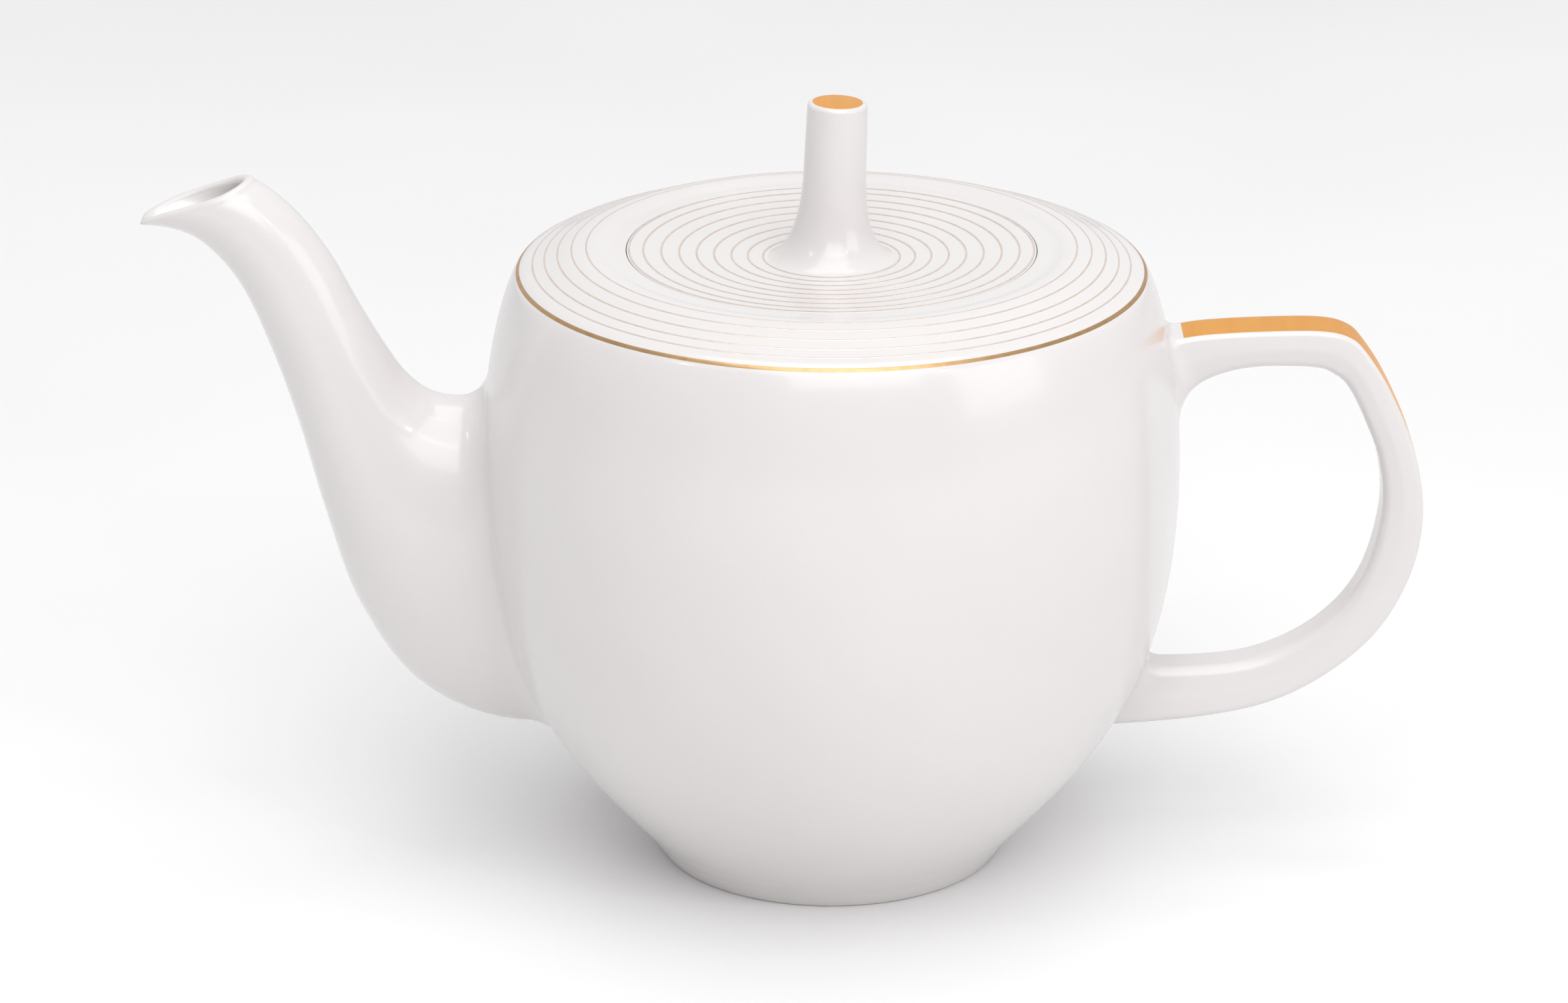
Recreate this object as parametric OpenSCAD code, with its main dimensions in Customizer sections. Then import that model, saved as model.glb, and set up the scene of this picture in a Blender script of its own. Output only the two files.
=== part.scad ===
// Porcelain teapot: a round pot with an inset lid, a tall beaked spout and a looped handle.
// Millimetres, +Z up. The origin is the middle of the foot's resting face.
// The spout points to -X and the handle to +X.

/* [Foot] */
// Outer radius of the foot where it stands on the table
foot_r = 32.6; // [31:0.2:34]
// Inner radius of the foot ring
foot_hole_r = 28.5; // [27:0.5:30]
// Height of the foot ring
foot_h = 6; // [5:0.5:7]
// Radius of the neck between the foot and the belly
neck_r = 36.5; // [35.5:0.5:37.5]

/* [Pot body] */
// Largest outer radius of the pot
belly_r = 65; // [64:0.5:66]
// Height of the widest place
belly_z = 76; // [72:1:80]
// Radius of the gilded edge between the belly and the shoulder
edge_r = 57.8; // [57:0.2:58.6]
// Height of the gilded edge
edge_z = 114.9; // [114.4:0.1:115.4]
// Wall thickness
wall = 3; // [2.4:0.1:3.4]
// Height of the floor inside the pot
floor_z = 9.6; // [9:0.2:11]

/* [Shoulder and lid seat] */
// Radius of the crest that rings the shoulder
crest_r = 44.2; // [43.6:0.2:45]
// Height of the crest
crest_z = 118.9; // [118.6:0.1:119.2]
// Outer radius of the lid
lid_r = 37.7; // [37:0.1:38]
// Gap around the lid
lid_gap = 0.35; // [0.3:0.05:0.5]
// Radius of the mouth inside the lid's ledge
mouth_r = 33.7; // [33:0.1:34.2]
// Thickness of the lid at its rim
lid_t = 3.25; // [3:0.05:3.5]

/* [Lid and knob] */
// Height of the lid's rim above the table
rim_z = 118.25; // [118:0.05:118.5]
// Height of the lid's low middle, under the knob
dish_z = 116.5; // [116:0.1:117]
// Radius of the knob's spread base
knob_base_r = 12.4; // [11:0.2:13]
// Radius of the knob's stem near its top
knob_r = 5.5; // [5:0.1:6]
// Height of the knob's top above the table
knob_top_z = 146.1; // [140:0.1:150]
// Depth of the collar below the lid
collar_h = 9; // [8:0.5:10]
// Lean of the hand-set knob towards the handle, in degrees
knob_lean = 2; // [0:0.25:3]
// Radius of the steam vent
vent_r = 1.2; // [0.8:0.1:1.3]

/* [Spout and handle] */
// Wall thickness of the spout at its root
spout_wall = 2.8; // [2.4:0.1:3]
// Slope of the spout's mouth in degrees
mouth_slope = 24; // [20:0.5:26]
// Half the width of the handle
handle_w = 5.4; // [4.8:0.1:6]
// Radius of the strainer holes
strainer_r = 2.2; // [1.6:0.1:2.4]

/* [Gilding] */
// Thickness of the gilding on the glaze
gilt_t = 0.15; // [0.1:0.05:0.2]
// Width of a hairline ring
hairline_w = 0.35; // [0.25:0.05:0.5]
// Width of the gilt band on the shoulder's edge
edge_band_w = 1.2; // [0.8:0.1:1.6]
// Half the width of the gilt strip on the handle
strip_w = 4.35; // [4:0.05:4.5]
// Width of the bare rim round the gilt disc on the knob
knob_rim = 0.86; // [0.7:0.02:1.2]

/* [Hidden] */
$fn = 96;
china = [0.94, 0.93, 0.92];
inner_china = [0.88, 0.87, 0.86];
gold = [0.86, 0.62, 0.28];
hairline_gold = [0.58, 0.47, 0.34];
big = 200;
past = 1;

// Rest gap below the lid, and where its underside and the ledge under it lie
lift_gap = 0.1;
lid_under_z = rim_z - lid_t;
ledge_z = lid_under_z - lift_gap;
seat_r = lid_r + lid_gap;
dish_under_z = dish_z - 3.1;
crest_roll_r = 42;
crest_roll_end = 40;
knob_foot_r = knob_base_r - 0.4;
knob_sink = 1;
knob_disc_r = knob_r - knob_rim;
vent_y = 17;

// The collar under the lid, its lug, and the notch in the ledge that lets the lug through
collar_r = mouth_r - 0.5;
collar_t = 2.4;
lug_reach = 3.4;
lug_h = 3;
lug_rise = 0.5;
lug_half_angle = 8;
notch_half_angle = 11;
notch_r = seat_r - 0.8;

// The spout's tip x and z, how much thinner its wall gets, and how many points go round it
mouth_tip = [-126.9, 124.2];
spout_thinning = 0.4;
spout_points = 28;
spout_steps = 3;

// Radii of the hairline rings on the shoulder and on the lid
shoulder_ring_r = [55, 52.8, 50.4, 47.8, 45.1];
lid_ring_r = [37.45, 34.6, 31.3, 28, 24.8, 21.6, 18.4, 15.4, 12.6];

// The strainer: rows above and below its middle row, the holes' pitch in Y and Z, and its middle height
strainer_rows = 3;
strainer_pitch = [7, 8];
strainer_z = 57;

// Spout sections: lower edge x and z, upper edge x and z, half width. The first lies inside the pot.
spout_line = [
    [-40, 26, -50, 88.5, 15],
    [-61, 25.1, -66, 89, 15],
    [-77.5, 32.9, -73.5, 89.8, 14.6],
    [-88.4, 48.8, -78.5, 93.3, 13.2],
    [-94.3, 67, -82.6, 99.2, 11.4],
    [-99, 85.2, -87.3, 107.6, 9.8],
    [-103.8, 100, -92, 116.6, 8.6],
    [-109, 112, -98, 124.8, 7.8],
    [-115.5, 119.7, -105, 130.8, 7.1],
    [-122, 122.5, -112.5, 133.2, 6.3],
    [-131, 123, -123.5, 134.6, 5.6]
];

// Handle sections: outer edge x and z, inner edge x and z. Both ends lie inside the pot.
handle_line = [
    [50, 101, 56, 84],
    [62, 101.8, 64.2, 89.6],
    [69, 102.8, 70, 93.8],
    [79, 103.4, 78, 96],
    [90, 103.5, 89, 96],
    [95.6, 102.2, 93, 94.6],
    [99, 98.9, 95.8, 92],
    [103.6, 91.4, 99, 85.6],
    [108.4, 79.8, 102, 77.4],
    [110.4, 67, 102.8, 67],
    [108, 54, 99.5, 54],
    [100.6, 41.6, 92.4, 44.8],
    [87, 31.5, 82, 38.8],
    [71, 26.9, 70, 36.6],
    [46, 24.6, 48, 36.4]
];
// Rings between two handle sections, and the first and last ring that the gilt strip covers
handle_steps = 3;
strip_rings = [4, 24];

function bezier(p, t) =
    pow(1 - t, 3) * p[0] + 3 * t * pow(1 - t, 2) * p[1] + 3 * t * t * (1 - t) * p[2] + t * t * t * p[3];
function curve(p, n) = [for (i = [0:n]) bezier(p, i / n)];
function unit(v) = v / norm(v);
function reversed(p) = [for (i = [len(p) - 1:-1:0]) p[i]];
function after_first(p) = [for (i = [1:len(p) - 1]) p[i]];
function before_last(p) = [for (i = [0:len(p) - 2]) p[i]];

// A path moved sideways, to the left of its direction
function inset(p, t) = [
    for (i = [0:len(p) - 1])
        let (d = unit(p[min(i + 1, len(p) - 1)] - p[max(i - 1, 0)])) p[i] + t * [-d[1], d[0]]
];

// A smooth curve through every row of a list, with n steps between rows
function spline(rows, n) = [
    for (i = [0:len(rows) - 2])
        let (a = rows[max(i - 1, 0)], b = rows[i], c = rows[i + 1], d = rows[min(i + 2, len(rows) - 1)])
            for (k = [0:(i == len(rows) - 2 ? n : n - 1)])
                let (t = k / n)
                    0.5 * (2 * b + (c - a) * t + (2 * a - 5 * b + 4 * c - d) * t * t
                           + (3 * b - a - 3 * c + d) * t * t * t)
];

belly_low = curve([[neck_r, foot_h], [51.4, 22.7], [belly_r, 36.2], [belly_r, belly_z]], 14);
belly_high = curve([[belly_r, belly_z], [belly_r, 91], [61.9, 108.3], [edge_r, edge_z]], 9);
belly = concat(belly_low, after_first(belly_high));
shoulder = curve([[edge_r, edge_z], [52.5, 116.2], [48.5, crest_z], [crest_r, crest_z]], 8);
roll = curve([[crest_r, crest_z], [crest_roll_r, crest_z], [crest_roll_r, rim_z],
              [crest_roll_end, rim_z]], 4);
outer_line = concat(belly, after_first(shoulder), after_first(roll), [[seat_r, rim_z]]);
belly_inner = [for (p = inset(before_last(belly), wall)) if (p[1] > floor_z + 0.5) p];
shoulder_inner = [for (p = inset(shoulder, wall)) if (p[0] < edge_r - wall) p];

// The half section of the pot: its outer skin, the lid's ledge and the cavity
module pot_section() {
    polygon(concat(
        [[0, foot_h]], outer_line,
        [[seat_r, ledge_z], [mouth_r, ledge_z], [mouth_r, ledge_z - wall],
         [seat_r + wall, ledge_z - wall], [seat_r + wall, crest_z - wall]],
        reversed(shoulder_inner), reversed(belly_inner),
        [[belly_inner[0][0] - 2, floor_z], [0, floor_z]]));
}

// The thin strip that lies on the shoulder's section, from just below its edge to its crest
module shoulder_skin() {
    skin = concat([belly_high[len(belly_high) - 2]], shoulder, [roll[1]]);
    polygon(concat(skin, reversed(inset(skin, -gilt_t))));
}

// The thin strip that lies on top of the lid's section
module lid_skin() {
    polygon(concat(lid_top, reversed([for (p = lid_top) p + [0, gilt_t]])));
}

// The part of a section within w/2 of radius r
module at_radius(r, w) {
    translate([r - w / 2, 0]) square([w, big]);
}

module edge_band_section() {
    intersection() {
        shoulder_skin();
        at_radius(edge_r, edge_band_w);
    }
}

module shoulder_rings_section() {
    intersection() {
        shoulder_skin();
        for (r = shoulder_ring_r) at_radius(r, hairline_w);
    }
}

module lid_rings_section() {
    intersection() {
        lid_skin();
        for (r = lid_ring_r) at_radius(r, hairline_w);
    }
}

// Everything inside the pot's outer surface
module pot_envelope() {
    rotate_extrude() polygon(concat([[0, foot_h]], outer_line, [[0, rim_z]]));
}

// The closed skin of a list of rings, each with the same number of points
module loft(rings) {
    m = len(rings[0]);
    n = len(rings);
    sides = [for (i = [0:n - 2], j = [0:m - 1])
        let (a = i * m + j, b = i * m + (j + 1) % m, c = a + m, d = b + m)
            for (f = [[a, b, d], [a, d, c]]) f];
    caps = [[for (j = [m - 1:-1:0]) j], [for (j = [0:m - 1]) (n - 1) * m + j]];
    polyhedron(points = [for (ring = rings) for (p = ring) p], faces = concat(sides, caps));
}

// An oval ring between a lower and an upper edge point, drawn in by t all round
function oval(s, t, m) =
    let (low = [s[0], 0, s[1]], high = [s[2], 0, s[3]], mid = (low + high) / 2,
         half = (high - low) / 2 - t * unit(high - low))
        [for (j = [0:m - 1]) mid + half * cos(360 * j / m) + [0, (t - s[4]) * sin(360 * j / m), 0]];

// A handle ring: flat outside, rounded inside. Each shape point is [across, share of the depth].
handle_shape = [
    [-0.8, 1], [0.8, 1], [0.95, 0.92], [1, 0.75], [0.98, 0.5], [0.88, 0.26], [0.66, 0.09], [0.34, 0.01],
    [-0.34, 0.01], [-0.66, 0.09], [-0.88, 0.26], [-0.98, 0.5], [-1, 0.75], [-0.95, 0.92]
];
function handle_ring(s) = [
    for (p = handle_shape)
        let (x = s[2] + (s[0] - s[2]) * p[1], z = s[3] + (s[1] - s[3]) * p[1]) [x, p[0] * handle_w, z]
];
handle_rows = spline(handle_line, handle_steps);

module spout_holes() {
    for (i = [-strainer_rows:strainer_rows], k = [-1:0.5:1])
        if (abs(i) % 2 == (abs(2 * k) % 2))
            translate([-belly_r - past, k * strainer_pitch[0], strainer_z + i * strainer_pitch[1]])
                rotate([0, 90, 0]) cylinder(r = strainer_r, h = 4 * wall, $fn = 32);
}

module pot_body() {
    color(china) difference() {
        rotate_extrude() pot_section();
        rotate([0, 0, -notch_half_angle]) rotate_extrude(angle = 2 * notch_half_angle)
            translate([mouth_r - past, ledge_z - wall - past])
                square([notch_r - mouth_r + past, wall + 2 * past]);
        spout_holes();
    }
}

module foot_ring() {
    color(china) rotate_extrude() polygon([
        [foot_hole_r, 0.6], [foot_hole_r + 0.6, 0], [foot_r - 0.8, 0], [foot_r, 0.5],
        [foot_r + 1.2, 1.8], [neck_r - 1.8, 3.6], [neck_r - 0.8, 5], [neck_r, foot_h],
        [foot_hole_r, foot_h]]);
}

module spout() {
    rows = spline(spout_line, spout_steps);
    taper = spout_wall * spout_thinning / len(rows);
    color(china) difference() {
        loft([for (s = rows) oval(s, 0, spout_points)]);
        loft([for (i = [0:len(rows) - 1]) oval(rows[i], spout_wall - i * taper, spout_points)]);
        pot_envelope();
        // the slanted mouth and its blunt tip
        translate([mouth_tip[0], 0, mouth_tip[1]]) {
            rotate([0, -mouth_slope, 0]) translate([-big / 2, -big / 2, 0]) cube(big);
            translate([-big, -big / 2, -big / 4]) cube(big);
        }
    }
}

module handle() {
    color(china) difference() {
        loft([for (s = handle_rows) handle_ring(s)]);
        pot_envelope();
    }
}

// Gold strip laid on the handle's flat outer face
module handle_gilding() {
    top = [for (i = [strip_rings[0]:strip_rings[1]]) [handle_rows[i][0], handle_rows[i][1]]];
    w = min(strip_w, 0.8 * handle_w);
    rise = inset(top, gilt_t);
    color(gold) loft([for (i = [0:len(top) - 1]) [
        [top[i][0], -w, top[i][1]], [rise[i][0], -w, rise[i][1]],
        [rise[i][0], w, rise[i][1]], [top[i][0], w, top[i][1]]]]);
}

module edge_gilding() {
    color(gold) rotate_extrude() edge_band_section();
}

module shoulder_rings() {
    color(hairline_gold) rotate_extrude() shoulder_rings_section();
}

lid_top = [[knob_base_r - 1, dish_z], [knob_base_r, dish_z], [lid_r - 0.5, rim_z], [lid_r, rim_z - 0.25]];

module lid() {
    color(china) difference() {
        rotate_extrude() polygon(concat(
            [[0, dish_z]], lid_top,
            [[lid_r, lid_under_z], [collar_r - collar_t, lid_under_z], [knob_base_r, dish_under_z],
             [0, dish_under_z]]));
        translate([0, vent_y, dish_under_z - past]) cylinder(r = vent_r, h = lid_t + 4 * past, $fn = 32);
    }
}

// Ring below the lid that keeps it centred in the pot's mouth
module lid_collar() {
    color(inner_china) rotate_extrude()
        translate([collar_r - collar_t, lid_under_z - collar_h]) square([collar_t, collar_h]);
}

// Small lug that passes the notch and then catches under the ledge
module lid_lug() {
    color(inner_china) rotate([0, 0, -lug_half_angle]) rotate_extrude(angle = 2 * lug_half_angle)
        translate([collar_r, lid_under_z - collar_h + lug_rise]) square([lug_reach, lug_h]);
}

// Leans its children about the middle of the knob's base
module leaning() {
    translate([0, 0, dish_z]) rotate([0, knob_lean, 0]) translate([0, 0, -dish_z]) children();
}

module lid_knob() {
    flare = curve([[knob_foot_r, dish_z + 0.5], [7.6, 118.5], [6.3, 124], [5.8, 131]], 12);
    color(china) difference() {
        leaning() rotate_extrude() polygon(concat(
            [[0, dish_z - knob_sink], [knob_foot_r, dish_z - knob_sink]], flare,
            [[knob_r, knob_top_z - 1], [knob_r - 0.3, knob_top_z - 0.3], [knob_disc_r, knob_top_z - gilt_t],
             [0, knob_top_z - gilt_t]]));
        translate([-big / 2, -big / 2, dish_z - big]) cube(big);
    }
}

module knob_gilding() {
    color(gold) leaning() translate([0, 0, knob_top_z - gilt_t]) cylinder(r = knob_disc_r, h = gilt_t);
}

module lid_rings() {
    color(hairline_gold) rotate_extrude() lid_rings_section();
}

pot_body();
foot_ring();
spout();
handle();
edge_gilding();
shoulder_rings();
handle_gilding();
lid();
lid_collar();
lid_lug();
lid_knob();
lid_rings();
knob_gilding();
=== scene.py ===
"""Looks of a gilded porcelain teapot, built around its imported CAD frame.

Outlines are written in millimetres and become metres as their mesh is made.
Outlines of revolved pieces hold points (radius, height); a third number rounds that corner.
"""
import math

import bmesh
import bpy
import numpy as np
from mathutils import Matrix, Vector


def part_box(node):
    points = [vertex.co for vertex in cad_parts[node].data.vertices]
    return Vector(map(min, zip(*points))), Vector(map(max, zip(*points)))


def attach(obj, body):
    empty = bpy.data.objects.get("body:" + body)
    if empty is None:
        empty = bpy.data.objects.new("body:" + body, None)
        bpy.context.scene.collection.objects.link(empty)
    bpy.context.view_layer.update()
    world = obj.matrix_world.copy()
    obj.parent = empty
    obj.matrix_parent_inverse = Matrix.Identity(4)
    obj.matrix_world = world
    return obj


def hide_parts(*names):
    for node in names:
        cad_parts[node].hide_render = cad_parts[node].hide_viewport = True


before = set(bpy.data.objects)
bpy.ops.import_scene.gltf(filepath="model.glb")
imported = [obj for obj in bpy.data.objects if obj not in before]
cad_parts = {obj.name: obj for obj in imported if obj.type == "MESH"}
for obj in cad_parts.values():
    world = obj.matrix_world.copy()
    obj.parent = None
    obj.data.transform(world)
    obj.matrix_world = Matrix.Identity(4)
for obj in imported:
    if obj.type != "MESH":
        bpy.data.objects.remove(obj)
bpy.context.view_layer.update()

MM = 0.001
SPIN_STEPS = 192
SHARP_ANGLE = math.radians(40)
GILT_RISE = 0.05
GILT_SINK = 0.08


# ---------------------------------------------------------------- sizes from the frame, in millimetres

def box_mm(node):
    """Lowest and highest corner of a CAD node's box, in millimetres."""
    low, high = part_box(node)
    return np.array(low) / MM, np.array(high) / MM


belly_r = box_mm("pot_body")[1][1]
foot_h = box_mm("foot_ring")[1][2]
neck_r = box_mm("foot_ring")[1][0]
lid_r = box_mm("lid")[1][0]
rim_z = box_mm("lid")[1][2]
collar_r = box_mm("lid_collar")[1][0]
collar_low, collar_high = box_mm("lid_collar")[0][2], box_mm("lid_collar")[1][2]
crest_z = box_mm("pot_body")[1][2]
handle_w = box_mm("handle")[1][1]
strip_w = box_mm("handle_gilding")[1][1]
spout_tip_x = box_mm("spout")[0][0]

# Sizes that no box holds.
wall = 3.0
spout_wall = 2.8
lid_gap = 0.13
lid_t = 3.25
air_under_lid = 0.1
rim_round = 0.15
collar_gap = 0.5
collar_inner_r = collar_r - 2.4
ledge_z = rim_z - lid_t - air_under_lid
mouth_r = collar_r + collar_gap
seat_r = lid_r + lid_gap
edge_r, edge_z = 57.8, 114.9
belly_z = 76.0
crest_r = 44.2
floor_z = 9.6
dish_z = 116.5
dish_t = 3.1
dish_under_z = dish_z - dish_t
knob_base_r = 12.4
foot_hole_r = 28.5
foot_base_z = 0.01


# ---------------------------------------------------------------- curves

def bezier(points, n):
    """A cubic curve over four points, in n steps."""
    p = np.array(points, float)
    t = np.linspace(0, 1, n + 1)[:, None]
    return (1 - t) ** 3 * p[0] + 3 * t * (1 - t) ** 2 * p[1] + 3 * t * t * (1 - t) * p[2] + t ** 3 * p[3]


def spline(rows, steps):
    """A smooth curve through every row, with that many steps between rows."""
    rows = np.array(rows, float)
    padded = np.vstack([rows[:1], rows, rows[-1:]])
    out = []
    for i in range(len(rows) - 1):
        a, b, c, d = padded[i:i + 4]
        for t in np.arange(steps) / steps:
            out.append(0.5 * (2 * b + (c - a) * t + (2 * a - 5 * b + 4 * c - d) * t * t
                              + (3 * b - a - 3 * c + d) * t ** 3))
    return np.array(out + [rows[-1]])


def rounded(corners, steps=6):
    """An open outline with each corner that has a third number rounded to that radius."""
    out = []
    for i, corner in enumerate(corners):
        p = np.array(corner[:2], float)
        if len(corner) < 3:
            out.append(p)
            continue
        before = np.array(corners[i - 1][:2], float) - p
        after = np.array(corners[(i + 1) % len(corners)][:2], float) - p
        before, after = before / np.linalg.norm(before), after / np.linalg.norm(after)
        half = math.acos(np.clip(before @ after, -1, 1)) / 2
        reach = corner[2] / math.tan(half)
        start, end = p + before * reach, p + after * reach
        for t in np.linspace(0, 1, steps + 1):
            # a circle's arc, written as a rational quadratic curve
            weight = math.sin(half)
            top = (1 - t) ** 2 * start + 2 * weight * t * (1 - t) * p + t * t * end
            out.append(top / ((1 - t) ** 2 + 2 * weight * t * (1 - t) + t * t))
    return np.array(out)


def inset(path, t):
    """A path moved to the left of its direction."""
    d = np.gradient(path, axis=0)
    d /= np.linalg.norm(d, axis=1)[:, None]
    return path + t * np.stack([-d[:, 1], d[:, 0]], 1)


def unit(v):
    """Vectors scaled to length 1."""
    return v / np.maximum(np.linalg.norm(v, axis=-1, keepdims=True), 1e-12)


# ---------------------------------------------------------------- meshes

def new_object(name, data):
    obj = bpy.data.objects.new(name, data)
    bpy.context.scene.collection.objects.link(obj)
    return obj


def piece(name, parts, material, body, nodes):
    """One object from a list of (vertices in mm, faces), smooth except at its sharp edges."""
    verts, faces = [], []
    for v, f in parts:
        faces += [[i + len(verts) for i in face] for face in f]
        verts += [tuple(p) for p in np.asarray(v) * MM]
    mesh = bpy.data.meshes.new(name)
    mesh.from_pydata(verts, [], faces)
    mesh.validate()
    obj = new_object(name, mesh)
    mesh.materials.append(material)
    smooth(mesh)
    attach(obj, body)
    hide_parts(*nodes)
    return obj


def second_material(obj, material, has_it):
    """Gives the faces that pass a test another material."""
    obj.data.materials.append(material)
    for face in obj.data.polygons:
        face.material_index = 1 if has_it(face) else 0


def smooth(mesh):
    mesh.shade_smooth()
    mesh.set_sharp_from_angle(angle=SHARP_ANGLE)


def revolve(path, closed=False, steps=SPIN_STEPS):
    """Vertices and faces of an outline turned about Z. An open outline starts and ends on the axis."""
    path = np.array(path, float)
    turn = np.arange(steps) * 2 * math.pi / steps
    verts, rings = [], []
    for r, z in path:
        start = len(verts)
        if r < 1e-6:
            verts.append((0, 0, z))
            rings.append([start] * steps)
        else:
            verts += [(r * math.cos(a), r * math.sin(a), z) for a in turn]
            rings.append(list(range(start, start + steps)))
    pairs = list(zip(rings, rings[1:])) + ([(rings[-1], rings[0])] if closed else [])
    faces = []
    for low, high in pairs:
        for i in range(steps):
            k = (i + 1) % steps
            face = list(dict.fromkeys([low[i], low[k], high[k], high[i]]))
            if len(face) > 2:
                faces.append(face)
    return np.array(verts), faces


def skin(rings, cap_ends=False, closed=False):
    """Vertices and faces of a stack of rings, an array of (ring, point, xyz)."""
    n, m, _ = rings.shape
    faces = []
    for i in range(n if closed else n - 1):
        for j in range(m):
            a, b = i * m + j, i * m + (j + 1) % m
            c, d = (i + 1) % n * m + (j + 1) % m, (i + 1) % n * m + j
            faces.append([a, b, c, d])
    if cap_ends:
        faces.append(list(range(m - 1, -1, -1)))
        faces.append([(n - 1) * m + j for j in range(m)])
    return rings.reshape(-1, 3), faces


def cut_holes(obj, holes):
    """Cuts round holes, each (centre, axis, radius, length) in mm, out of a mesh."""
    bm = bmesh.new()
    for centre, axis, radius, length in holes:
        turn = Vector((0, 0, 1)).rotation_difference(Vector(axis)).to_matrix().to_4x4()
        turn.translation = Vector(centre) * MM
        bmesh.ops.create_cone(bm, cap_ends=True, segments=32, radius1=radius * MM, radius2=radius * MM,
                              depth=length * MM, matrix=turn)
    mesh = bpy.data.meshes.new("cutter")
    bm.to_mesh(mesh)
    bm.free()
    cutter = new_object("cutter", mesh)
    cut = obj.modifiers.new("cut", "BOOLEAN")
    cut.operation, cut.solver, cut.object = "DIFFERENCE", "EXACT", cutter
    bpy.context.view_layer.update()
    result = bpy.data.meshes.new_from_object(obj.evaluated_get(bpy.context.evaluated_depsgraph_get()))
    obj.modifiers.clear()
    old = obj.data
    obj.data = result
    result.name = old.name
    bpy.data.meshes.remove(old)
    bpy.data.objects.remove(cutter)
    bpy.data.meshes.remove(mesh)
    smooth(obj.data)


# ---------------------------------------------------------------- materials

class Nodes:
    """Small helper that adds and links the nodes of one material."""

    def __init__(self, name):
        self.material = bpy.data.materials.new(name)
        self.material.use_nodes = True
        self.tree = self.material.node_tree
        self.shader = self.tree.nodes["Principled BSDF"]
        self.place = self.add("ShaderNodeTexCoord").outputs["Object"]

    def add(self, kind, **inputs):
        node = self.tree.nodes.new(kind)
        for key, value in inputs.items():
            node.inputs[key.replace("_", " ")].default_value = value
        return node

    def link(self, output, target):
        self.tree.links.new(output, target)

    def noise(self, scale, detail):
        """A noise value in object space; its scale is in lumps per metre."""
        node = self.add("ShaderNodeTexNoise", Scale=scale, Detail=detail)
        self.link(self.place, node.inputs["Vector"])
        return node.outputs["Fac"]

    def ramp(self, value, low, high, start=0.3, end=0.7):
        """A colour that runs from low to high as the value goes from start to end."""
        node = self.tree.nodes.new("ShaderNodeValToRGB")
        node.color_ramp.elements[0].position, node.color_ramp.elements[0].color = start, (*low, 1)
        node.color_ramp.elements[1].position, node.color_ramp.elements[1].color = end, (*high, 1)
        self.link(value, node.inputs["Fac"])
        return node.outputs["Color"]

    def spread(self, value, low, high):
        """A number that runs from low to high over the middle of a noise value's range."""
        node = self.add("ShaderNodeMapRange", From_Min=0.3, From_Max=0.7, To_Min=low, To_Max=high)
        self.link(value, node.inputs["Value"])
        return node.outputs["Result"]

    def bump(self, heights):
        """Bump from a list of (height output, distance in metres)."""
        normal = None
        for height, distance in heights:
            node = self.add("ShaderNodeBump", Strength=1.0, Distance=distance)
            self.link(height, node.inputs["Height"])
            if normal is not None:
                self.link(normal, node.inputs["Normal"])
            normal = node.outputs["Normal"]
        self.link(normal, self.shader.inputs["Normal"])

    def set(self, **values):
        """Constant values on the shader's own sockets."""
        for key, value in values.items():
            self.shader.inputs[key.replace("_", " ")].default_value = value


def china_material(name, white, warm):
    """Bone china under a clear glaze: a slightly uneven white body and a gently rippled gloss."""
    m = Nodes(name)
    m.link(m.ramp(m.noise(22, 3), warm, white), m.shader.inputs["Base Color"])
    m.link(m.spread(m.noise(60, 3), 0.2, 0.26), m.shader.inputs["Roughness"])
    m.set(IOR=1.5, Coat_Weight=0.3, Coat_Roughness=0.05)
    m.bump([(m.noise(28, 1), 0.00012), (m.noise(900, 2), 0.0000015)])
    return m.material


def bisque_material():
    """The foot's resting edge, which is free of glaze: dry and faintly sandy."""
    m = Nodes("foot_bisque")
    m.link(m.ramp(m.noise(420, 6), (0.6, 0.57, 0.53), (0.72, 0.7, 0.67)), m.shader.inputs["Base Color"])
    m.link(m.spread(m.noise(300, 4), 0.5, 0.7), m.shader.inputs["Roughness"])
    m.set(Specular_IOR_Level=0.3)
    m.bump([(m.noise(1600, 5), 0.00004)])
    return m.material


def gold_material(name, light, dark, rough, streak, metal=1.0):
    """Burnished gilding, laid on by brush: faint streaks, thin places and uneven polish."""
    m = Nodes(name)
    stretched = m.add("ShaderNodeMapping")
    stretched.inputs["Scale"].default_value = streak
    m.link(m.place, stretched.inputs["Vector"])
    brush = m.add("ShaderNodeTexNoise", Scale=500, Detail=4)
    m.link(stretched.outputs["Vector"], brush.inputs["Vector"])
    m.link(m.ramp(brush.outputs["Fac"], dark, light, 0.25, 0.6), m.shader.inputs["Base Color"])
    m.link(m.spread(m.noise(240, 4), rough, rough + 0.05), m.shader.inputs["Roughness"])
    m.set(Metallic=metal)
    m.bump([(brush.outputs["Fac"], 0.0000015)])
    return m.material


china = china_material("white_china", (0.725, 0.70, 0.692), (0.705, 0.677, 0.668))
# A lighter copy of the china for the spout's channel, the lid's collar and its lug: painted light that
# brightens insides lying in shade.
painted_light_china = china_material("inside_china_painted_light", (0.84, 0.82, 0.81), (0.81, 0.785, 0.77))
bisque = bisque_material()
gold = gold_material("burnished_gold", (0.98, 0.47, 0.085), (0.95, 0.44, 0.07), 0.36, (1, 0.12, 1))
# The edge line's gold is much darker and browner than the handle's: painted shade, standing in for the
# dark surroundings that the gilding reflects.
darkened_edge_gilt = gold_material("edge_gold_painted_dark", (0.6, 0.39, 0.2), (0.52, 0.33, 0.16), 0.34, (1, 1, 1))
hairline = gold_material("hairline_gold", (0.76, 0.67, 0.59), (0.66, 0.57, 0.49), 0.3, (1, 1, 1), 0.6)


# ---------------------------------------------------------------- the pot's outline

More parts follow.
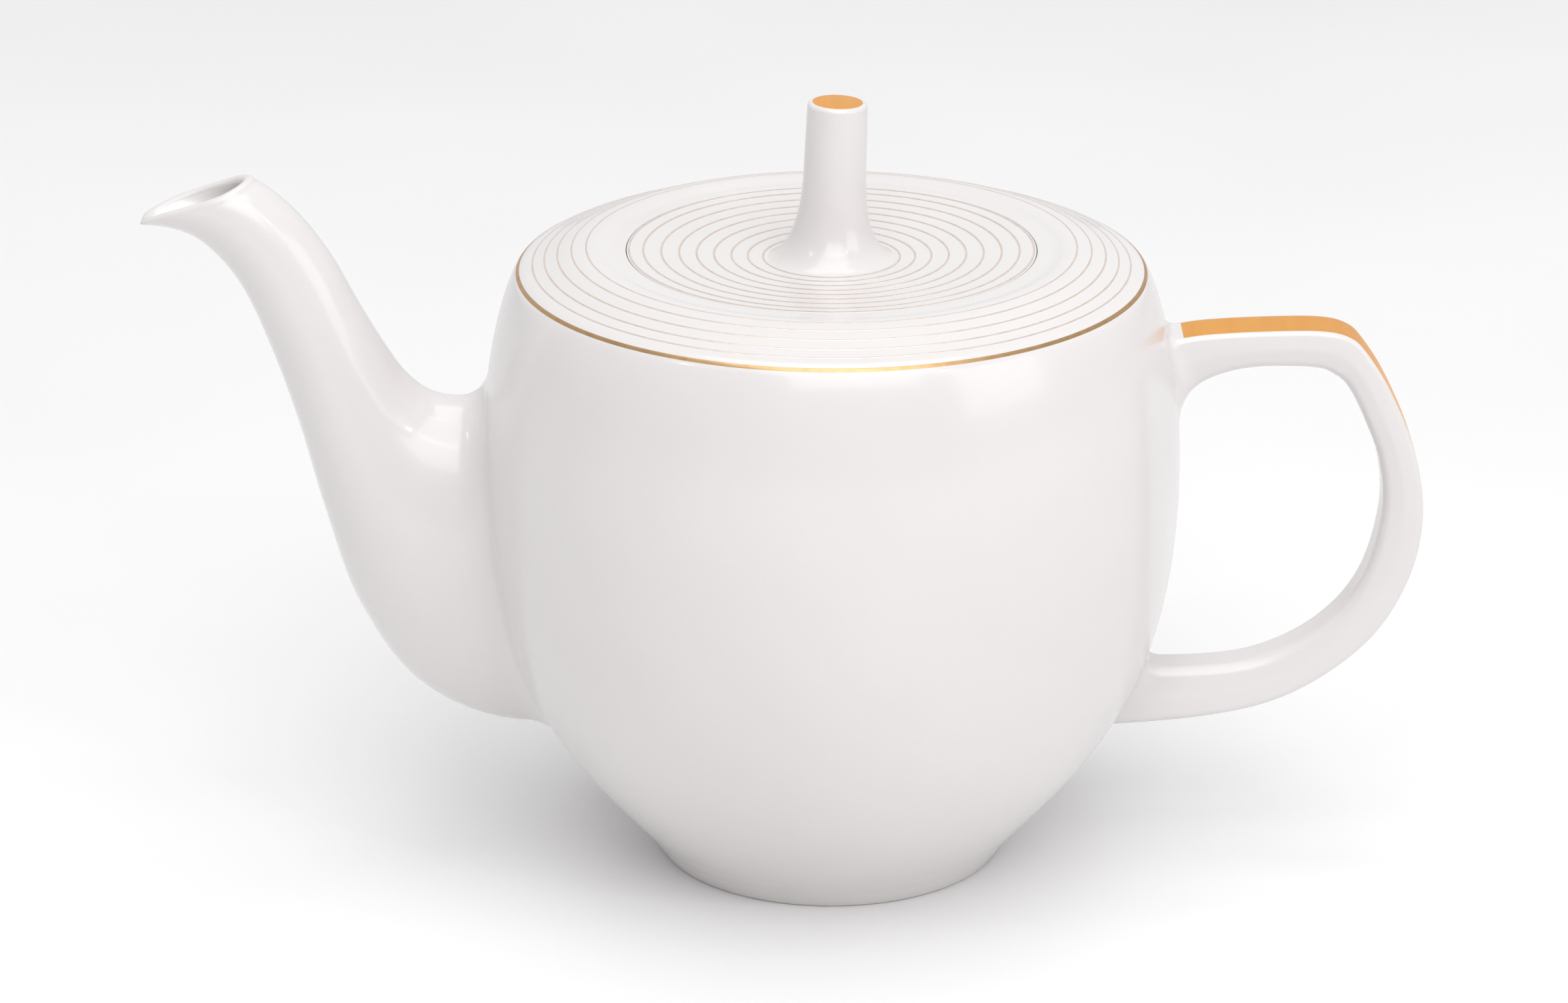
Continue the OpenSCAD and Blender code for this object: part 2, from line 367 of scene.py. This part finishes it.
belly_low = bezier([(neck_r, foot_h), (51.4, 22.7), (belly_r, 36.2), (belly_r, belly_z)], 44)
belly_high = bezier([(belly_r, belly_z), (belly_r, 91), (61.9, 108.3), (edge_r, edge_z)], 30)
shoulder = bezier([(edge_r, edge_z), (52.5, 116.2), (48.5, crest_z), (crest_r, crest_z)], 24)
roll = bezier([(crest_r, crest_z), (42, crest_z), (42, rim_z), (40, rim_z)], 12)
belly = np.vstack([belly_low, belly_high[1:]])


def edge_arc(radius=1.5):
    """The small round edge between belly and shoulder, and how many points it takes off each side."""
    def past(path):
        return next(i for i, p in enumerate(path) if np.linalg.norm(p - (edge_r, edge_z)) > radius)
    last, first = len(belly_high) - 1 - past(belly_high[::-1]), past(shoulder)
    a, b, corner = belly_high[last], shoulder[first], np.array([edge_r, edge_z])
    t = np.linspace(0, 1, 12)[1:-1, None]
    return last, first, (1 - t) ** 2 * a + 2 * t * (1 - t) * corner + t * t * b


last_high, first_shoulder, edge = edge_arc()
top_outline = np.vstack([belly_high[:last_high + 1], edge, shoulder[first_shoulder:], roll[1:],
                         rounded([roll[-1], (seat_r, rim_z, rim_round), (seat_r, ledge_z)])[1:-1]])


def belly_radius(z):
    """Radius of the pot's outer surface at a height below the shoulder."""
    return np.interp(z, belly[:, 1], belly[:, 0])


def pot_outline():
    """Once round the pot wall: underside, belly, shoulder, lid seat and ledge, then back inside."""
    floor_bend, shoulder_bend = 5, 1
    under = [(0, foot_h + 0.6), (18, foot_h + 0.3), (28, foot_h)]
    inner = inset(belly, wall)
    inner = inner[(inner[:, 1] > floor_z + floor_bend) & (inner[:, 1] < edge_z - wall - shoulder_bend)]
    floor = bezier([inner[0], inner[0] - (3.4, 4.2), (30, floor_z), (18, floor_z)], 12)
    roof = inset(shoulder, wall)
    roof = roof[roof[:, 0] < edge_r - wall - 1.5][::-1]
    gallery = rounded([(seat_r, rim_z - 0.5), (seat_r, ledge_z, 0.4), (mouth_r, ledge_z, 0.5),
                       (mouth_r, ledge_z - wall, 0.8), (seat_r + wall, ledge_z - wall, 0.8),
                       (seat_r + wall, crest_z - wall - 0.3, 0.8), tuple(roof[0] + (1, 0))])
    return np.vstack([under, belly_low, top_outline[1:], gallery[1:-1], roof[1:], inner[::-1], floor[1:],
                      [(0, floor_z)]])


STRAINER_HOLE_R = 2.2
STRAINER_STEP_Y, STRAINER_STEP_Z = 7, 8
STRAINER_MIDDLE_Z = 57


def strainer_holes():
    """Staggered rows of holes through the pot wall behind the spout."""
    in_wall, length = -belly_r + 4, 20
    holes = []
    for i in range(-3, 4):
        for y in ([-1, 0, 1] if i % 2 == 0 else [-0.5, 0.5]):
            centre = (in_wall, y * STRAINER_STEP_Y, STRAINER_MIDDLE_Z + STRAINER_STEP_Z * i)
            holes.append((centre, (1, 0, 0), STRAINER_HOLE_R, length))
    return holes


# ---------------------------------------------------------------- gilding on turned surfaces

def gilt_ring(path, radius, width):
    """Closed outline of a thin gilt line that follows a surface outline around one radius."""
    along = np.concatenate([[0], np.cumsum(np.linalg.norm(np.diff(path, axis=0), axis=1))])
    i = np.argmin(abs(path[:, 0] - radius))
    k = i + 1 if (path[min(i + 1, len(path) - 1), 0] - radius) * (path[i, 0] - radius) <= 0 else i - 1
    share = (radius - path[i, 0]) / (path[k, 0] - path[i, 0])
    middle = along[i] + share * (along[k] - along[i])
    points_across, roundness = 7, 0.97
    u = np.linspace(-1, 1, points_across)
    s = middle + u * width / 2
    points = np.stack([np.interp(s, along, path[:, 0]), np.interp(s, along, path[:, 1])], 1)
    d = unit(np.gradient(points, axis=0))
    normal = np.stack([d[:, 1], -d[:, 0]], 1)
    rise = (GILT_RISE * np.sqrt(1 - (u * roundness) ** 2))[:, None]
    return np.vstack([points + normal * rise, (points - normal * GILT_SINK)[::-1]])


# ---------------------------------------------------------------- spout and handle: columns of a loft

class Columns:
    """A stack of rings seen as columns: curves that run along the spout or handle, one per ring point."""

    def __init__(self, rings):
        self.rings = rings
        steps = np.linalg.norm(np.diff(rings, axis=0), axis=2)
        self.along = np.vstack([np.zeros(rings.shape[1]), np.cumsum(steps, axis=0)])

    def where(self, values, last=False):
        """Length along each column at which a value per point first rises through 0, or last falls."""
        out = []
        for j in range(values.shape[1]):
            v = values[:, j]
            up = np.nonzero((v[:-1] > 0) & (v[1:] <= 0) if last else (v[:-1] <= 0) & (v[1:] > 0))[0]
            i = up[-1] if last else up[0]
            share = v[i] / (v[i] - v[i + 1])
            out.append(self.along[i, j] + share * (self.along[i + 1, j] - self.along[i, j]))
        return np.array(out)

    def at(self, lengths):
        """Points at those lengths, an array of (sample, column)."""
        lengths = np.atleast_2d(lengths)
        out = np.empty(lengths.shape + (3,))
        for j in range(lengths.shape[1]):
            for k in range(3):
                out[:, j, k] = np.interp(lengths[:, j], self.along[:, j], self.rings[:, j, k])
        return out


def outside_pot(points):
    """Distance of points from the pot's surface, level with each; positive outside."""
    return np.hypot(points[..., 0], points[..., 1]) - belly_radius(points[..., 2])


def pot_normal(points):
    """The pot's outward direction at points on its surface."""
    step = 0.05
    slope = (belly_radius(points[:, 2] + step) - belly_radius(points[:, 2] - step)) / (2 * step)
    return unit(np.column_stack([unit(points[:, :2]), -slope]))


def onto_pot(points, sink=0.0):
    """Points moved straight in or out to the pot's surface, or a little under it."""
    level = unit(points[:, :2]) * (belly_radius(points[:, 2]) - sink)[:, None]
    return np.column_stack([level, points[:, 2]])


FILLET_PULL = 0.62
SKIRT, SKIRT_SINK = 1.2, 0.02


def root_fillet(columns, start, reach, sign, steps=14):
    """Rings of the fillet that rises from the pot's surface and runs onto the columns, pot end first.

    The first ring is a skirt just under the pot's surface, so that no gap shows at the fillet's edge.
    """
    reach = np.broadcast_to(reach, len(start))
    q = columns.at(start)[0]
    on_piece = columns.at(start + sign * reach)[0]
    down_piece = unit(on_piece - columns.at(start + sign * (reach + 0.1))[0])
    away = unit(np.cross(unit(np.roll(q, -1, 0) - np.roll(q, 1, 0)), pot_normal(q)))
    away *= np.sign((away * (q - q.mean(0))).sum(1))[:, None]
    on_pot = onto_pot(q + reach[:, None] * away)
    normal = pot_normal(on_pot)
    inward = q - on_pot
    inward = unit(inward - (inward * normal).sum(1)[:, None] * normal)
    skirt = onto_pot(on_pot - SKIRT * inward, SKIRT_SINK)
    pull = FILLET_PULL * reach[:, None]
    t = np.linspace(0, 1, steps + 1)[:, None, None]
    curve = ((1 - t) ** 3 * on_pot + 3 * t * (1 - t) ** 2 * (on_pot + pull * inward)
             + 3 * t * t * (1 - t) * (on_piece + pull * down_piece) + t ** 3 * on_piece)
    return np.vstack([skirt[None], curve])


def blend_lengths(start, end, n):
    """Lengths along each column from start to end, in n steps."""
    return start + (end - start) * np.linspace(0, 1, n + 1)[:, None]


# Spout sections: lower edge x and z, upper edge x and z, half width. The first lies inside the pot.
SPOUT_LINE = [
    (-40, 26, -50, 88.5, 15),
    (-61, 25.1, -66, 89, 15),
    (-77.5, 32.9, -73.5, 89.8, 14.6),
    (-88.4, 48.8, -78.5, 93.3, 13.2),
    (-94.3, 67, -82.6, 99.2, 11.4),
    (-99, 85.2, -87.3, 107.6, 9.8),
    (-103.8, 100, -92, 116.6, 8.6),
    (-109, 112, -98, 124.8, 7.8),
    (-115.5, 119.7, -105, 130.8, 7.1),
    (-122, 122.5, -112.5, 133.2, 6.3),
    (-131, 123, -123.5, 134.6, 5.6),
]
SPOUT_STEPS, SPOUT_COLUMNS = 10, 72
SPOUT_FILLET = 5.5
WALL_THINNING = 0.4
# The mouth: its tip, the slope of its cut, how far the lip's roll stands above the cut, how much lower the
# back is cut, and how the blunt tip is faced.
MOUTH_TIP = np.array([spout_tip_x + 0.05, 124.2])
MOUTH_SLOPE = math.radians(23)
LIP_RISE, LIP_RISE_BACK = 0.85, 0.25
BACK_CUT = 1.1
TIP_FACE, TIP_BLEND = 0.3, 0.5
TIP_BLUNTNESS = 1.2


def spout_rings(wall_root):
    """Rings of the spout's outside moved in by a wall that thins from its root to the mouth."""
    rows = spline(SPOUT_LINE, SPOUT_STEPS)
    turn = np.arange(SPOUT_COLUMNS) * 2 * math.pi / SPOUT_COLUMNS
    rings = []
    for i, (lx, lz, ux, uz, w) in enumerate(rows):
        t = wall_root * (1 - WALL_THINNING * i / len(rows))
        low, high = np.array([lx, 0, lz]), np.array([ux, 0, uz])
        half = (high - low) / 2
        half *= 1 - t / np.linalg.norm(half)
        ring = (low + high) / 2 + np.outer(np.cos(turn), half)
        ring[:, 1] = (w - t) * np.sin(turn)
        rings.append(ring)
    return np.array(rings)


def to_back(points):
    """0 along the front of the mouth, rising to 1 at its back."""
    begins, rises_over = 6, 10
    return np.clip((points[..., 0] - MOUTH_TIP[0] - begins) / rises_over, 0, 1)


def past_mouth(points):
    """Signed distance past the foot of the mouth's rounded rim, blended where its blunt tip meets it."""
    x, z = points[..., 0] - MOUTH_TIP[0], points[..., 2] - MOUTH_TIP[1]
    above = z * math.cos(MOUTH_SLOPE) - x * math.sin(MOUTH_SLOPE) + LIP_RISE + BACK_CUT * to_back(points)
    beyond = TIP_FACE - x
    h = np.clip(0.5 + 0.5 * (above - beyond) / TIP_BLEND, 0, 1)
    return above * h + beyond * (1 - h) + TIP_BLEND * h * (1 - h)


def spout_mesh():
    """The spout's outside, rounded lip and channel as one skin, and its first face inside the channel."""
    outer, inner = Columns(spout_rings(0)), Columns(spout_rings(spout_wall))
    outer_root = outer.where(outside_pot(outer.rings))
    inner_root = inner.where(outside_pot(inner.rings) + 0.3)
    outer_end = outer.where(past_mouth(outer.rings))
    inner_end = inner.where(past_mouth(inner.rings))
    out = outer.at(blend_lengths(outer_root + SPOUT_FILLET, outer_end, 90))
    into = inner.at(blend_lengths(inner_end, inner_root, 60))
    middle, half = (out[-1] + into[0]) / 2, (out[-1] - into[0]) / 2
    bluntness = np.clip(1.25 - (middle[:, 0] - MOUTH_TIP[0]) / 4, 0, 1)
    up = unit(np.stack([-math.sin(MOUTH_SLOPE) - TIP_BLUNTNESS * bluntness, 0 * bluntness,
                        math.cos(MOUTH_SLOPE) + 0 * bluntness], 1))
    up *= (LIP_RISE + LIP_RISE_BACK * to_back(middle))[:, None]
    turn = np.linspace(0, math.pi, 11)[1:-1]
    lip = np.array([middle + half * math.cos(a) + up * math.sin(a) for a in turn])
    rings = np.vstack([root_fillet(outer, outer_root, SPOUT_FILLET, 1)[:-1], out, lip, into])
    inside = (len(rings) - len(into)) * SPOUT_COLUMNS
    return skin(rings, closed=True), inside


# Handle sections: outer edge x and z, inner edge x and z. Both ends lie inside the pot.
HANDLE_LINE = [
    (50, 101, 56, 84),
    (62, 101.8, 64.2, 89.6),
    (69, 102.8, 70, 93.8),
    (79, 103.4, 78, 96),
    (90, 103.5, 89, 96),
    (95.6, 102.2, 93, 94.6),
    (99, 98.9, 95.8, 92),
    (103.6, 91.4, 99, 85.6),
    (108.4, 79.8, 102, 77.4),
    (110.4, 67, 102.8, 67),
    (108, 54, 99.5, 54),
    (100.6, 41.6, 92.4, 44.8),
    (87, 31.5, 82, 38.8),
    (71, 26.9, 70, 36.6),
    (46, 24.6, 48, 36.4),
]
HANDLE_STEPS, HANDLE_COLUMNS = 8, 72
HANDLE_ROWS = spline(HANDLE_LINE, HANDLE_STEPS)
HANDLE_DEPTH = 8.0
INNER_FILLET, OUTER_FILLET_LESS = 5.2, 3.2       # the fillet at the outer face is that much smaller


def handle_section(n):
    """Points (across, share of depth) around a section: flat outside, flat-sided, narrower inside."""
    side, inner, ridge = handle_w, 4.3, 4.2
    corners = [(0, HANDLE_DEPTH), (side, HANDLE_DEPTH, 1.0), (side, ridge, 5), (inner, 0, 2.4),
               (-inner, 0, 2.4), (-side, ridge, 5), (-side, HANDLE_DEPTH, 1.0), (0, HANDLE_DEPTH)]
    points = rounded(corners, 10)
    along = np.concatenate([[0], np.cumsum(np.linalg.norm(np.diff(points, axis=0), axis=1))])
    even = np.arange(n) * along[-1] / n
    return np.stack([np.interp(even, along, points[:, 0]) / handle_w,
                     np.interp(even, along, points[:, 1]) / HANDLE_DEPTH], 1)


def handle_points(rows, section):
    """Rings of handle points for rows of outer and inner edges."""
    outer = np.stack([rows[:, 0], 0 * rows[:, 0], rows[:, 1]], 1)
    inner = np.stack([rows[:, 2], 0 * rows[:, 0], rows[:, 3]], 1)
    rings = inner[:, None] + (outer - inner)[:, None] * section[None, :, 1, None]
    rings[:, :, 1] = section[:, 0] * handle_w
    return rings


def handle_mesh():
    """The handle with a fillet at each root, smaller at its outer face than at its inner edge."""
    section = handle_section(HANDLE_COLUMNS)
    fillet = INNER_FILLET - OUTER_FILLET_LESS * section[:, 1]
    columns = Columns(handle_points(HANDLE_ROWS, section))
    out = outside_pot(columns.rings)
    start, end = columns.where(out), columns.where(out, last=True)
    middle = columns.at(blend_lengths(start + fillet, end - fillet, 150))
    rings = np.vstack([root_fillet(columns, start, fillet, 1)[:-1], middle,
                       root_fillet(columns, end, fillet, -1)[-2::-1]])
    return skin(rings, cap_ends=True)


def handle_strip_mesh(start_x=64.9, end_z=72, taper=14):
    """The gilt strip: a thin sheet over the handle's flat outer face, cut square and ending in a point."""
    rows = HANDLE_ROWS
    on_face = (rows[:, 0] > start_x) & (rows[:, 1] > end_z)
    rows = rows[on_face]
    first = HANDLE_ROWS[np.nonzero(on_face)[0][0] - 1]
    share = (start_x - first[0]) / (rows[0, 0] - first[0])
    rows = np.vstack([first + share * (rows[0] - first), rows])
    lift = unit(rows[:, :2] - rows[:, 2:4])
    points_across, edge_steepness, thinnest = 13, 12, 0.001
    u = np.linspace(-1, 1, points_across)
    narrow = np.sqrt(np.clip((rows[:, 1] - end_z) / taper, thinnest, 1))
    rings = []
    for row, d, w in zip(rows, lift, narrow):
        across = u * strip_w * w
        rise = GILT_RISE * np.clip((1 - abs(u)) * edge_steepness, 0, 1)
        top = np.stack([row[0] + d[0] * rise, across, row[1] + d[1] * rise], 1)
        low_x, low_z = row[0] - d[0] * GILT_SINK, row[1] - d[1] * GILT_SINK
        low = np.stack([0 * u + low_x, across, 0 * u + low_z], 1)
        rings.append(np.vstack([top, low[::-1]]))
    return skin(np.array(rings), cap_ends=True)


# ---------------------------------------------------------------- build the pot

pot = piece("pot_shell", [revolve(pot_outline())], china, "pot", ["pot_body"])
cut_holes(pot, strainer_holes())

foot_outline = rounded([(foot_hole_r, foot_h), (foot_hole_r, foot_base_z, 0.7), (32.3, foot_base_z, 0.9),
                        (34.3, 3.2, 8), (neck_r, foot_h)])
foot = piece("foot_rim", [revolve(foot_outline, closed=True)], china, "pot", ["foot_ring"])
UNGLAZED_BELOW = 0.5
second_material(foot, bisque, lambda face: face.center.z < UNGLAZED_BELOW * MM)

spout_skin, first_inside = spout_mesh()
spout = piece("spout_shell", [spout_skin], china, "pot", ["spout"])
# The channel's inside takes the lighter china: painted light in place of the shade inside it.
second_material(spout, painted_light_china, lambda face: face.index >= first_inside)
piece("handle_loop", [handle_mesh()], china, "pot", ["handle"])
piece("handle_gold", [handle_strip_mesh()], gold, "pot", ["handle_gilding"])

EDGE_LINE_W, HAIRLINE_W = 0.8, 0.34
SHOULDER_RINGS = [55, 52.8, 50.4, 47.8, 45.1]
LID_RINGS = [37.25, 34.6, 31.3, 28, 24.8, 21.6, 18.4, 15.4, 12.6]


def gilt_rings(path, radii, width):
    return [revolve(gilt_ring(path, r, width), closed=True) for r in radii]


# The edge line takes the darkened gold: painted shade.
piece("edge_gold_painted_dark", gilt_rings(top_outline, [edge_r], EDGE_LINE_W), darkened_edge_gilt, "pot",
      ["edge_gilding"])
shoulder_top = top_outline[np.argmax(top_outline[:, 1] > edge_z + 0.1):]
piece("shoulder_hairlines", gilt_rings(shoulder_top, SHOULDER_RINGS, HAIRLINE_W), hairline, "pot",
      ["shoulder_rings"])


# ---------------------------------------------------------------- build the lid

dish = bezier([(knob_base_r - 2, dish_z), (20, dish_z + 0.45), (28, rim_z - 0.65),
               (lid_r - 0.6, rim_z)], 24)
lid_top = np.vstack([dish, rounded([dish[-1], (lid_r, rim_z, rim_round), (lid_r, collar_high)])[1:-1]])


def lid_outline():
    """The lid disc from the middle of its underside, round its edge, to the middle of its top."""
    under = rounded([(lid_r, rim_z - 0.6), (lid_r, collar_high, 0.6), (collar_inner_r, collar_high, 0.5),
                     (knob_base_r, dish_under_z, 4), (0, dish_under_z)])
    return np.vstack([[(0, dish_under_z)], under[::-1][1:], lid_top[::-1], [(0, dish_z)]])


lid = piece("lid_disc", [revolve(lid_outline())], china, "cover", ["lid"])
VENT_R, VENT_Y = 1.2, 17
cut_holes(lid, [((0, VENT_Y, dish_z - 1), (0, 0, 1), VENT_R, 12)])

collar = rounded([(collar_inner_r, collar_high), (collar_inner_r, collar_low, 0.9),
                  (collar_r, collar_low, 1), (collar_r, collar_high)])
# The collar, under the lid, takes the lighter china: painted light.
piece("lid_collar_ring", [revolve(collar, closed=True)], painted_light_china, "cover", ["lid_collar"])


def lug_mesh():
    """The lug: a rounded section swept round the collar, drawn in towards both ends."""
    root_r = collar_r - 0.5
    least_drawn = 0.15
    low, high = box_mm("lid_lug")
    rings = []
    section = rounded([(root_r, low[2]), (high[0], low[2], 1.2), (high[0], high[2], 0.8),
                       (root_r, high[2])])
    half = math.asin(high[1] / high[0])
    for share in np.sin(np.linspace(-1, 1, 17) * math.pi / 2):
        a = share * half
        drawn = (1 - abs(share) ** 6) ** 0.5
        r = root_r + (section[:, 0] - root_r) * max(drawn, least_drawn)
        rings.append(np.stack([r * math.cos(a), r * math.sin(a), section[:, 1]], 1))
    return skin(np.array(rings), cap_ends=True)


# The lug takes the lighter china too: painted light.
piece("lid_lug_tab", [lug_mesh()], painted_light_china, "cover", ["lid_lug"])


KNOB_LEAN, LEAN_GROWS_OVER = math.radians(2), 10
KNOB_STEPS = 96
knob_r = 5.5
knob_disc_r = 4.64
knob_height = 146.1


def lean(mesh):
    """Leans a mesh of the knob about the middle of its base, which stays flat on the lid."""
    verts, faces = mesh
    x, z = verts[:, 0], verts[:, 2] - dish_z
    turn = KNOB_LEAN * np.clip(z / LEAN_GROWS_OVER, 0, 1)
    s, c = np.sin(turn), np.cos(turn)
    return np.stack([x * c + z * s, verts[:, 1], dish_z + z * c - x * s], 1), faces


stem = bezier([(knob_base_r - 0.2, dish_z - 0.08), (7.8, 117.6), (6.2, 123.5), (5.8, 131)], 40)
knob = np.vstack([[(0, dish_z - 1), (knob_base_r - 1.5, dish_z - 1)], stem,
                  rounded([stem[-1], (knob_r, knob_height - 0.02, 0.9), (0, knob_height - 0.02)])[1:]])
piece("lid_knob_stem", [lean(revolve(knob, steps=KNOB_STEPS))], china, "cover", ["lid_knob"])
disc = rounded([(0, knob_height - 0.3), (knob_disc_r, knob_height - 0.3), (knob_disc_r, knob_height, 0.06),
                (0, knob_height + 0.03)])
piece("knob_gold", [lean(revolve(disc, steps=KNOB_STEPS))], gold, "cover", ["knob_gilding"])
piece("lid_hairlines", gilt_rings(lid_top, LID_RINGS, HAIRLINE_W), hairline, "cover",
      ["lid_rings"])


# ---------------------------------------------------------------- camera, floor and light

CAMERA_ELEVATION, CAMERA_DISTANCE = 20.573, 1.0
CAMERA_AIM = (-0.00874, 0.00276, 0.06735)
SENSOR_MM, LENS_MM = 36.0, 122.33
LIGHT_AIM = (0, 0, 0.08)
FLOOR_HALF = 6.0
SKY_FRONT, SKY_BACK = 0.42, 0.84
# Name, azimuth and elevation in degrees, distance and size in metres, power in watts.
SOFTBOXES = [
    ("key_softbox", 8, 36, 1.6, (1.2, 0.6), 5.5),
    ("high_softbox", 8, 60, 1.6, (1.4, 1.0), 9),
    ("left_softbox", -60, 40, 1.5, (0.04, 0.16), 0.5),
    ("right_softbox", 42, 36, 1.5, (0.08, 0.08), 0.6),
    ("fill_softbox", 60, 20, 1.8, (1.0, 0.8), 4.5),
    ("top_softbox", 180, 86, 1.8, (1.2, 1.2), 9),
]


def stand(obj, azimuth, elevation, distance, aim):
    """Stands a thing so that it looks at aim from that azimuth and elevation, in metres and degrees."""
    a, e = math.radians(azimuth), math.radians(elevation)
    away = Vector((math.sin(a) * math.cos(e), -math.cos(a) * math.cos(e), math.sin(e)))
    obj.location, obj.rotation_mode = Vector(aim) + away * distance, "QUATERNION"
    obj.rotation_quaternion = away.to_track_quat("Z", "Y")


def camera():
    """The photo's view, which the photo's ellipses and outline gave."""
    data = bpy.data.cameras.new("camera")
    data.sensor_width, data.lens = SENSOR_MM, LENS_MM
    data.clip_start, data.clip_end = 0.05, 20
    obj = new_object("camera", data)
    stand(obj, 0, CAMERA_ELEVATION, CAMERA_DISTANCE, CAMERA_AIM)
    bpy.context.scene.camera = obj


def softbox(name, azimuth, elevation, distance, size, power):
    data = bpy.data.lights.new(name, "AREA")
    data.shape, data.size, data.size_y, data.energy = "RECTANGLE", size[0], size[1], power
    stand(new_object(name, data), azimuth, elevation, distance, LIGHT_AIM)


def floor():
    """A plain, pale and very faintly uneven floor."""
    m = Nodes("pale_floor")
    m.link(m.ramp(m.noise(6, 2), (0.84, 0.84, 0.84), (0.87, 0.87, 0.87)), m.shader.inputs["Base Color"])
    m.set(Roughness=0.9, Specular_IOR_Level=0.1)
    mesh = bpy.data.meshes.new("floor")
    r = FLOOR_HALF
    mesh.from_pydata([(-r, -r, 0), (r, -r, 0), (r, r, 0), (-r, r, 0)], [], [(0, 1, 2, 3)])
    mesh.materials.append(m.material)
    obj = new_object("floor", mesh)


def surroundings():
    """A white studio, bright behind and above the pot and a little darker towards the front."""
    world = bpy.data.worlds.new("studio")
    bpy.context.scene.world = world
    world.use_nodes = True
    tree = world.node_tree
    sky = tree.nodes["Background"]
    place = tree.nodes.new("ShaderNodeTexCoord")
    split = tree.nodes.new("ShaderNodeSeparateXYZ")
    ramp = tree.nodes.new("ShaderNodeMapRange")
    ramp.inputs["From Min"].default_value = -0.6
    ramp.inputs["From Max"].default_value = 1.0
    ramp.inputs["To Min"].default_value = SKY_FRONT
    ramp.inputs["To Max"].default_value = SKY_BACK
    tree.links.new(place.outputs["Generated"], split.inputs["Vector"])
    tree.links.new(split.outputs["Y"], ramp.inputs["Value"])
    tree.links.new(ramp.outputs["Result"], sky.inputs["Strength"])
    sky.inputs["Color"].default_value = (0.985, 0.98, 1.0, 1)


camera()
floor()
surroundings()
for box in SOFTBOXES:
    softbox(*box)
bpy.context.scene.view_settings.view_transform = "Standard"
